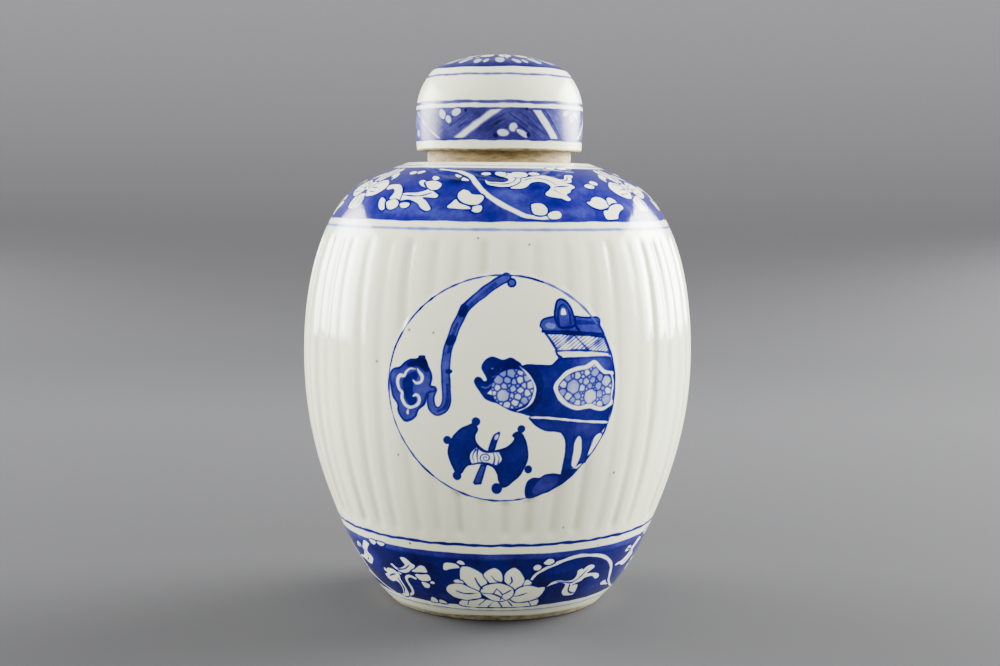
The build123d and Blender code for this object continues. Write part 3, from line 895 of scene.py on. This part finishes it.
def paint_lid_side(p):
    """A blue band crossed by slanting white bars, with buds; points are (degrees, height in mm)."""
    low, high = LID_BASE + 4.6, LID_BASE + 17.4
    levels = p.chart([(0, low), (0, high)])[:, 1]
    p.band(levels[0], levels[1], 0.72, waves=0.12)
    p.wash((-66, 210, 17, 9, -0.34), (-36, 210, 13, 9, -0.12), (-4, 207, 16, 9, 0.22),
           (14, 212, 8, 7, 0.06), (54, 209, 17, 9, -0.34), (76, 207, 8, 7, -0.1))
    paint_hatching(p, low, high)
    bars = (([(-78, 215.9), (-44, 202.9)], 0.9, 0.7), ([(-29, 202.7), (2.5, 217)], 2.3, 0.45),
            ([(22.5, 217), (41, 202)], 3.2, 0.85), ([(66, 202.9), (96, 216.8)], 1.9, 0.5))
    for bar, thick, outline_tone in bars:
        p.line(bar, thick + 1.1, outline_tone, soft=0.7)
        p.line(bar, thick, 0.08, soft=0.7)
    p.line([(28.6, 217), (46.5, 202.5)], 0.5, 0.9)
    p.band(p.y[0] - 9, levels[0], 0.0)
    p.band(levels[1], p.y[-1] + 9, 0.0)
    across = np.linspace(-92, 92, 70)
    lines = ((low, 0.8, 0.8), (high, 0.8, 0.74), (LID_BASE + 20.2, 1.3, 0.66), (LID_BASE + 32, 1.1, 0.5))
    for level, thick, tone in lines:
        p.line(np.stack([across, level + 0.1 * np.sin(across * 0.2)], 1), thick, tone)
    buds = ((-41, 213.2, 3.2, 1.9), (-35.6, 210.9, 2.6, 1.7), (-29.5, 213.9, 3.4, 1.5),
            (2.6, 205.3, 3.8, 1.5), (9.2, 207.6, 2.6, 1.8), (15.2, 205.2, 4.2, 1.2),
            (50.5, 213.9, 3.6, 1.3), (56.3, 211.6, 2.6, 1.9), (63, 213.4, 4.0, 1.3),
            (-73, 205.6, 3.4, 1.5), (86, 206, 3.2, 1.5))
    reserve(p, [ellipse(x, z, w, h, (x * 37) % 40 - 20) for x, z, w, h in buds], rim=0.75, tone=0.14)
    for x, z, r in ((-2.6, 204.2, 1.0), (19.6, 204.6, 0.9), (-22.5, 214.6, 0.7), (18, 215.2, 0.7)):
        p.dot(x, z, r * 1.5, 0.98, ry=r)


def paint_lid_top(p):
    """A lotus on the crown in a ring of scrolling leaves; points are (degrees, mm from the axis)."""
    border = p.chart([(0, 29.3)])[0, 1]
    p.band(border, p.y[-1] + 1, 0.85, waves=0.1)
    for k in range(-6, 7):
        x = k * 20.0
        reserve(p, [
            [(x - 7.5, 23), (x - 5, 26.2), (x - 1.5, 27), (x + 1.2, 25.2), (x, 22.6), (x - 3, 21.2),
             (x - 6, 21)],
            [(x + 3, 24.6), (x + 5.6, 26.6), (x + 8.4, 25), (x + 8, 22), (x + 5, 21.4)],
        ] if k % 2 else [
            [(x - 5, 20), (x - 4, 24.8), (x, 26.6), (x + 4, 24.8), (x + 5, 20), (x, 18.4)],
            [(x + 6.4, 19), (x + 9, 20.6), (x + 11.5, 18.6), (x + 9, 17)],
        ], rim=0.8, tone=0.2)
    for k in range(-4, 5):
        x = k * 30.0 + 8
        reserve(p, [[(x - 11, 14), (x - 8, 16.6), (x, 17.6), (x + 8, 16.6), (x + 11, 14), (x + 6, 8), (x, 5),
                     (x - 6, 8)]], rim=0.9, lines=[[(x, 15.4), (x, 9)]])
    p.band(p.chart([(0, 5.2)])[0, 1], p.y[-1] + 1, 0.25)
    p.band(p.chart([(0, 2.6)])[0, 1], p.y[-1] + 1, 0.9)


# ---------------------------------------------------------------- the jar

ROUNDEL_FADE = 24              # how steeply the grooves rise outside a roundel
ROUNDEL_SPREAD = 45            # how far in mm above and below its middle a roundel bends the ribs


def grooves(a, z):
    """How deep the grooves between the belly's upright ribs are, 0 to about 1; none in the roundels."""
    near = (a - FRONT + SECTOR / 2) % SECTOR - SECTOR / 2
    y = z - ROUNDEL_Z
    from_middle = np.hypot(near * BELLY_R / ROUNDEL_X, y / ROUNDEL_Y)
    low, high, fade = 40, 164, 5
    rise = np.clip((z - low) / fade, 0, 1) * np.clip((high - z) / fade, 0, 1)
    rise = rise * rise * (3 - 2 * rise) * np.clip((from_middle - 1.0) * ROUNDEL_FADE, 0, 1)
    # The ribs bow a little round each roundel, and no two are quite alike
    lean = 0.014 * np.sin(3 * near) * np.exp(-(y / ROUNDEL_SPREAD)**2)
    turn = RIBS * (a + lean) + ripple(a, z, (0.5, 3, 0.02, 0), (0.4, 7, 0, 1), (0.2, 17, -0.02, 0))
    groove = (0.5 - 0.5 * np.cos(turn))**2
    uneven = 0.8 + ripple(a, z, (0.3, 5, 0.015, 0), (0.25, 13, -0.03, 0), (0.25, 29, 0.02, 0))
    return rise * groove * uneven


def relief(a, z):
    """How far the glaze stands out in mm: it ripples just under the CAD surface."""
    return ripple(a, z, (0.06, 2, 0.05, 0), (0.05, 5, -0.08, 1)) - RIB_DEPTH * grooves(a, z) - 0.1


def jar_surface(a, s):
    """The jar's painted outside: points at angles a and at lengths s up its profile."""
    step = 0.3
    r, z = jar_profile.radius(s), jar_profile.height(s)
    dr = jar_profile.radius(s + step) - jar_profile.radius(s - step)
    dz = jar_profile.height(s + step) - jar_profile.height(s - step)
    length = np.maximum(np.hypot(dr, dz), 1e-9)
    out = relief(a, z) * np.clip(np.minimum(s, JAR_END - s) / 3, 0, 1)
    return polar(r + out * dz / length, a, z - out * dr / length)


def lid_surface(a, s):
    """The lid's painted outside, which is a little out of round."""
    r, z = lid_profile.radius(s), lid_profile.height(s)
    fade = np.clip(r / 20, 0, 1) * np.clip(s / 3, 0, 1)
    return polar(r + fade * (ripple(a, z, (0.05, 2, 0, 1), (0.04, 5, 0.2, 0)) - 0.06), a, z)


def rows_between(start, end):
    return np.linspace(start, end, coarse_count(end - start) * FINE + 1)


def band_paint(angles, profile, s, chart_r, to_s, period=SECTOR):
    """A Paint on a band of a turned surface, for points of (degrees, anything that to_s knows)."""
    zero = profile.conformal(s[0])

    def up(at):
        return (profile.conformal(at) - zero) * chart_r

    def chart(points):
        p = np.asarray(points, float)
        return np.stack([np.radians(p[:, 0]) * chart_r, up(to_s(p[:, 1]))], 1)

    p = Paint(angles * chart_r, up(s), profile.radius(s) / chart_r, chart, period * chart_r)
    p.height = profile.height(s)
    return p


COLUMNS = coarse_count(SECTOR * BELLY_R)
BAND_CHART_R = 62.0
local = np.linspace(-SECTOR / 2, SECTOR / 2, COLUMNS * FINE + 1)
base_s = rows_between(0, jar_profile.at_height(BELLY_LOW))
belly_s = rows_between(base_s[-1], jar_profile.at_height(BELLY_HIGH))
shoulder_s = rows_between(belly_s[-1], JAR_END)

belly = Paint(local * BELLY_R, jar_profile.height(belly_s) - ROUNDEL_Z)
paint_roundel(belly)
base = band_paint(local + FRONT, jar_profile, base_s, BAND_CHART_R, jar_profile.at_height)
paint_base(base)
shoulder = band_paint(local + FRONT, jar_profile, shoulder_s, BAND_CHART_R, lambda down: JAR_END - down)
paint_shoulder(shoulder)

# The second number is what a full groove takes off the cobalt: the glaze darkens there, partly as glaze
# pooling and partly as painted shade.
SPECK, POOLING_SHADE = -0.9, 0.1           # cobalt at a speck of iron; what a full groove takes off it
belly_specks = ((-28.3, 22.3), (-38.8, 23), (-45.4, -28), (-54, 9.5), (-11.5, 59.3), (11, 57),
                (52, -36), (30, -58))
for x, y in belly_specks:
    belly.dot(x, y, 0.42, SPECK)
for x, z in ((17.3, 12.5), (37.5, 35.2), (-30, 36.6)):
    base.dot(x, z, 0.4, SPECK)

jar_pieces, lid_pieces = [], []
parts = (("base_band", base_s, base), ("belly", belly_s, belly), ("shoulder", shoulder_s, shoulder))
for k in range(3):
    around = local + FRONT + k * SECTOR
    for part, s, paint in parts:
        # Painted shade in the grooves, along with glaze pooling there, is taken off the cobalt.
        pooled_shade = POOLING_SHADE * grooves(around[None, :], jar_profile.height(s)[:, None])
        jar_pieces.append(lattice_mesh(f"{part}_{k + 1}", jar_surface, around, s, paint.ink, pooled_shade=pooled_shade))

FOOT_R, FOOT_TOP = jar_profile.r[0], jar_profile.z[0]
FOOT_EDGE = FOOT_R - FOOT_FLARE      # where the foot meets the table
FOOT_INNER = FOOT_EDGE - FOOT_RING
BORE = NECK_R - NECK_WALL
LEDGE_R = EDGE_R - EDGE_WIDTH


def bare_foot(r, z, a):
    """Unglazed where the foot ring stands, below a level that wanders round it."""
    level = 2.7 + 0.7 * ripple(a, 0, (0.6, 3, 0, 1), (0.4, 8, 0, 2))
    return edge(level - z, 0.5)


def bare_ledge(r, z, a):
    """Unglazed inside the raised edge."""
    return edge(LEDGE_R + 0.3 + ripple(a, 0, (0.3, 4, 0, 0), (0.2, 11, 0, 0)) - r, 0.4)


def bare_lid_rim(r, z, a):
    """Unglazed at the rim that the lid is set down on."""
    return edge(LID_BASE + 0.9 + 0.3 * np.sin(5 * a) - z, 0.5)


def inside_section():
    """Out of the bore, down the wall's inside and in over the floor."""
    outer = np.stack([jar_profile.r, jar_profile.z], 1)
    tangent = np.gradient(outer, axis=0)
    tangent /= np.linalg.norm(tangent, axis=1, keepdims=True)
    wall = outer + WALL * np.stack([-tangent[:, 1], tangent[:, 0]], 1)
    wall = wall[(wall[:, 1] > FLOOR + 6) & (wall[:, 0] > BORE + 6)][::-30]
    throat = (BORE, LEDGE_Z - WALL + 0.6)
    floor_edge = (FOOT_INNER - 1.5, FLOOR + 1.6), (FOOT_INNER - 6, FLOOR)
    bend = smooth_curve(np.vstack([throat, wall, *floor_edge]), False)
    return np.vstack([(BORE, LEDGE_Z), bend, (0, FLOOR)])


foot_section = rounded([
    (0, RECESS, 0), (FOOT_INNER, RECESS, 1.5), (FOOT_INNER, 0, 0.8), (FOOT_EDGE, 0, 0.8),
    (FOOT_R, FOOT_TOP, 0),
])
ledge_section = rounded([
    (EDGE_R, BODY_TOP, 0), (LEDGE_R, BODY_TOP, 0.5), (LEDGE_R - 0.6, LEDGE_Z, 0.2), (BORE, LEDGE_Z, 0),
])
neck_section = rounded([
    (BORE, LEDGE_Z, 0), (BORE, NECK_TOP, 1.4), (NECK_R, NECK_TOP, 1.4), (NECK_R, LEDGE_Z, 0),
])
jar_pieces += [
    turned("foot", foot_section, cell=1.2, columns=COLUMNS * 3, seed=2.0, marks=0.05, bare=bare_foot),
    turned("inside", inside_section(), cell=3.5, columns=120, seed=1.0, marks=0.12, waver=0.15),
    turned("ledge", ledge_section, cell=1.2, columns=COLUMNS * 3, seed=0.5, bare=bare_ledge),
]
neck_piece = turned("bare_neck", neck_section[::-1], cell=1.6, columns=160, seed=0.8, marks=0.06,
                    waver=0.05)

# The lid's painted outside
lid_columns = coarse_count(math.pi * LID_R)
lid_local = np.linspace(-math.pi / 2, math.pi / 2, lid_columns * FINE + 1)
TOP_SPLIT = lid_profile.at_height(LID_BASE + 33.2)
TOP_CHART_R = 15.0
side_s = rows_between(0, TOP_SPLIT)
top_s = rows_between(TOP_SPLIT, lid_profile.s[-1])
side = band_paint(lid_local, lid_profile, side_s, LID_R, lid_profile.at_height, math.pi)
paint_lid_side(side)
top = band_paint(lid_local, lid_profile, top_s, TOP_CHART_R,
                 lambda r: np.interp(-r, -lid_profile.r, lid_profile.s), math.pi)
paint_lid_top(top)
lid_ink = np.vstack([side.ink, top.ink[1:]])
lid_s = np.r_[side_s, top_s[1:]]
for k in range(2):
    half_turn = lid_local + k * math.pi
    lid_pieces.append(lattice_mesh(f"lid_{k + 1}", lid_surface, half_turn, lid_s, lid_ink, pole=True))

# Its glazed inside, with the ring that sits on the neck
LID_INNER, SEAT_Z, CEILING_Z = NECK_R + NECK_GAP, LID_BASE + SEAT, LID_TOP - CEILING
SEAT_R = LID_INNER - SEAT_WIDTH
lid_section = rounded([
    (0, CEILING_Z, 0), (10, CEILING_Z - 0.9, 6), (SEAT_R, SEAT_Z + 2, 2), (SEAT_R, SEAT_Z, 0.6),
    (LID_INNER, SEAT_Z, 1.6), (LID_INNER, LID_BASE, 1.2), (lid_profile.r[0] - 0.6, LID_BASE, 0.9),
    (lid_profile.r[0], lid_profile.z[0], 0),
])
lid_pieces.append(turned("lid_inside", lid_section, cell=1.6, columns=lid_columns * 2, seed=2.0,
                         bare=bare_lid_rim))


# ---------------------------------------------------------------- finishes

def srgb(*colour):
    shares = (c / 255 for c in colour)
    return tuple(c / 12.92 if c <= 0.04045 else ((c + 0.055) / 1.055)**2.4 for c in shares) + (1.0,)


# Colours, and where they come on the ramp: the cobalt from -1 to 1 is spread over 0 to 1
# The second colour is the glaze in a full groove: darker partly where glaze pools and partly as painted
# shade.
GLAZE, POOLED_SHADE, IRON = (230, 232, 203), (196, 202, 170), (92, 62, 38)
UNPAINTED = ((0.0, IRON), (0.42, POOLED_SHADE), (0.5, GLAZE), (0.515, GLAZE))
BLUES = (
    (0.62, (126, 138, 190)), (0.75, (60, 68, 150)), (0.87, (29, 25, 108)), (0.94, (2, 2, 94)),
    (1.0, (0, 0, 56)),
)
GREYED_BLUES = ((0.62, (132, 138, 186)), (0.75, (80, 82, 142)), (0.87, (46, 44, 104)), (1.0, (8, 8, 60)))
WIPED = ((0.3, (96, 82, 58)), (0.52, (150, 138, 108)), (0.75, (182, 172, 144)))
BISCUIT = ((0.3, (92, 76, 48)), (0.5, (146, 128, 88)), (0.72, (182, 166, 128)))
# The sweep's colour from front to back, as painted shade: dark at the front, a darker dip just round the jar
# against the light the softboxes throw there, and paler towards the wall.
PAPER_SHADE = (
    (0.0, (50, 50, 52)), (0.13, (40, 40, 42)), (0.35, (62, 62, 64)), (0.78, (123, 122, 125)),
    (1.0, (146, 145, 148)),
)


def tree_of(name):
    material = bpy.data.materials.new(name)
    material.use_nodes = True
    tree = material.node_tree
    return material, tree, tree.nodes["Principled BSDF"]


def add(tree, kind, inputs=(), **settings):
    """A new node, with each input linked where it is given a socket, or else set."""
    node = tree.nodes.new("ShaderNode" + kind)
    for key, value in settings.items():
        setattr(node, key, value)
    for key, value in dict(inputs).items():
        if hasattr(value, "is_output"):
            tree.links.new(value, node.inputs[key])
        else:
            node.inputs[key].default_value = value
    return node


def maths(tree, operation, *values):
    return add(tree, "Math", dict(enumerate(values)), operation=operation).outputs[0]


def ramp(tree, factor, stops):
    node = add(tree, "ValToRGB", {0: factor})
    elements = node.color_ramp.elements
    while len(elements) < len(stops):
        elements.new(0.5)
    for element, (at, colour) in zip(elements, stops):
        element.position, element.color = at, srgb(*colour)
    return node.outputs[0]


def noise(tree, where, scale, detail, rough=0.5):
    inputs = {"Vector": where, "Scale": scale, "Detail": detail, "Roughness": rough}
    return add(tree, "TexNoise", inputs).outputs[0]


def porcelain(name, blues, roughness, shine):
    """Glaze over cobalt, and bare biscuit where the glaze was wiped off."""
    material, tree, shader = tree_of(name)
    where = add(tree, "TexCoord").outputs["Object"]
    cobalt = add(tree, "Attribute", attribute_name="cobalt").outputs["Fac"]
    bare = add(tree, "Attribute", attribute_name="bare").outputs["Fac"]
    # Cobalt pools and thins under the glaze, in brush patches and in fine specks
    patches = maths(tree, "SUBTRACT", noise(tree, where, 95.0, 2.0), 0.5)
    specks = maths(tree, "SUBTRACT", noise(tree, where, 520.0, 3.0, 0.6), 0.5)
    depth = maths(tree, "ADD", maths(tree, "MULTIPLY", patches, 0.75), maths(tree, "MULTIPLY", specks, 0.45))
    # Neither bare glaze nor the darkest blue varies much
    amount = maths(tree, "MULTIPLY", maths(tree, "MAXIMUM", cobalt, 0.0),
                   maths(tree, "SUBTRACT", 1.22, cobalt))
    change = maths(tree, "MULTIPLY", depth, maths(tree, "MULTIPLY", amount, 1.5))
    factor = maths(tree, "MULTIPLY_ADD", maths(tree, "ADD", cobalt, change), 0.5, 0.5)
    painted = ramp(tree, factor, UNPAINTED + blues)
    soil = ramp(tree, noise(tree, where, 260.0, 5.0, 0.7), WIPED)
    # Of a Mix node's sockets, 0 is the factor, 6 and 7 the two colours, and output 2 the mixed colour
    colour = add(tree, "Mix", {0: bare, 6: painted, 7: soil}, data_type="RGBA").outputs[2]
    tree.links.new(colour, shader.inputs["Base Color"])
    glossy = add(tree, "MapRange", {0: bare, "To Min": roughness, "To Max": 0.75}).outputs[0]
    tree.links.new(glossy, shader.inputs["Roughness"])
    shader.inputs["IOR"].default_value = 1.5
    shader.inputs["Specular IOR Level"].default_value = shine
    # The glaze lies in soft undulations, finely pitted
    undulations, pits = noise(tree, where, 70.0, 2.0), noise(tree, where, 800.0, 2.0)
    swell = add(tree, "Bump", {"Height": undulations, "Strength": 0.12, "Distance": 0.002}).outputs[0]
    pitted = add(tree, "Bump", {"Height": pits, "Strength": 0.03, "Distance": 0.0006, "Normal": swell})
    tree.links.new(pitted.outputs[0], shader.inputs["Normal"])
    return material


def biscuit(name):
    """Bare fired clay, soiled in streaks round the neck."""
    material, tree, shader = tree_of(name)
    where = add(tree, "TexCoord").outputs["Object"]
    streaks = add(tree, "Mapping", {"Vector": where, "Scale": (1.0, 1.0, 4.0)}).outputs[0]
    soil = ramp(tree, noise(tree, streaks, 130.0, 6.0, 0.7), BISCUIT)
    tree.links.new(soil, shader.inputs["Base Color"])
    shader.inputs["Roughness"].default_value = 0.8
    grain = add(tree, "Bump", {"Height": noise(tree, where, 900.0,
                                               4.0), "Strength": 0.3, "Distance": 0.0005})
    tree.links.new(grain.outputs[0], shader.inputs["Normal"])
    return material


jar_porcelain = porcelain("jar_porcelain", BLUES, roughness=0.1, shine=0.42)
lid_porcelain = porcelain("lid_porcelain", GREYED_BLUES, roughness=0.2, shine=0.2)
for pieces, body, node, slot, material in (
    (jar_pieces, "jar", "jar_body", "jar_porcelain", jar_porcelain),
    ([neck_piece], "jar", "neck", "neck_biscuit", biscuit("neck_biscuit")),
    (lid_pieces, "lid", "lid", "lid_porcelain", lid_porcelain),
):
    for piece in pieces:
        piece.data.materials.append(material)
        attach(piece, body)
        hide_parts(node)


# ---------------------------------------------------------------- studio, in metres

def backdrop():
    """A sweep of paper: a floor that curves up into a wall behind. Its colour is painted shade, dark at
    the front, darker still just round the jar, and paler as it goes back.
    """
    front, back, height, turn, side = -3.0, 2.8, 4.0, 2.3, 5.0
    bend = back - turn
    line = [(front, 0.0), (bend, 0.0)]
    for t in np.linspace(0.1, math.pi / 2, 16):
        line.append((bend + turn * math.sin(t), turn * (1 - math.cos(t))))
    line.append((back, height))
    vertices = [(x, y, z) for x in (-side, side) for y, z in line]
    n = len(line)
    mesh = bpy.data.meshes.new("sweep")
    mesh.from_pydata(vertices, [], [(k, k + n, k + n + 1, k + 1) for k in range(n - 1)])
    mesh.polygons.foreach_set("use_smooth", [True] * (n - 1))
    sweep = linked("sweep", mesh)
    material, tree, shader = tree_of("paper")
    # Painted shade: the sweep darkens towards the front and just round the jar.
    depth = add(tree, "SeparateXYZ", {0: add(tree, "TexCoord").outputs["Object"]}).outputs["Y"]
    share = add(tree, "MapRange", {0: depth, "From Min": -0.3, "From Max": 2.7}).outputs[0]
    tree.links.new(ramp(tree, share, PAPER_SHADE), shader.inputs["Base Color"])
    shader.inputs["Roughness"].default_value = 0.9
    mesh.materials.append(material)


backdrop()

AIM = Vector((0, 0, 0.12))           # the jar's middle


def aimed(name, light, azimuth, elevation, distance):
    """A lamp looking at the jar; azimuth goes round from straight behind the camera."""
    a, e = math.radians(azimuth), math.radians(elevation)
    lamp = linked(name, light)
    way = Vector((math.sin(a) * math.cos(e), -math.cos(a) * math.cos(e), math.sin(e)))
    lamp.location = AIM + distance * way
    lamp.rotation_mode = "QUATERNION"
    lamp.rotation_quaternion = (AIM - lamp.location).to_track_quat("-Z", "Y")
    return lamp


def softbox(name, azimuth, width, power):
    """One of the two boxes beside the jar, whose tall highlights lie on its flanks."""
    light = bpy.data.lights.new(name, "AREA")
    light.shape, light.size, light.size_y, light.energy = "RECTANGLE", width, 0.77, power
    light.spread = math.radians(60)
    aimed(name, light, azimuth, elevation=14.5, distance=1.3)


def fill(name, azimuth, elevation, strength):
    """A broad light that isn't mirrored in the glaze."""
    light = bpy.data.lights.new(name, "SUN")
    light.energy, light.angle = strength, math.radians(50)
    aimed(name, light, azimuth, elevation, distance=2.2).visible_glossy = False


softbox("left_softbox", azimuth=-112, width=1.6, power=23)
softbox("right_softbox", azimuth=117, width=1.5, power=33)
fill("overhead", azimuth=180, elevation=74, strength=0.4)
fill("left_fill", azimuth=-30, elevation=38, strength=2.9)
fill("right_fill", azimuth=34, elevation=38, strength=3.7)

world = bpy.data.worlds.new("studio")
world.use_nodes = True
sky = world.node_tree.nodes["Background"].inputs
sky["Color"].default_value = (0.97, 0.98, 1.0, 1.0)
sky["Strength"].default_value = 0.1
bpy.context.scene.world = world

# The camera is in front, above the jar's middle, and looks a little down
CAMERA_PLACE = (0, -0.6611, 0.1842)
CAMERA_DOWN, CAMERA_ROLL = 5.742, 0.497     # degrees
camera_data = bpy.data.cameras.new("camera")
camera_data.lens = 53.53
camera_data.shift_x = 0.00245
camera = linked("camera", camera_data)
camera.matrix_world = (
    Matrix.Translation(CAMERA_PLACE)
    @ Matrix.Rotation(math.radians(90 - CAMERA_DOWN), 4, "X")
    @ Matrix.Rotation(math.radians(CAMERA_ROLL), 4, "Z")
)
bpy.context.scene.camera = camera

bpy.context.view_layer.update()
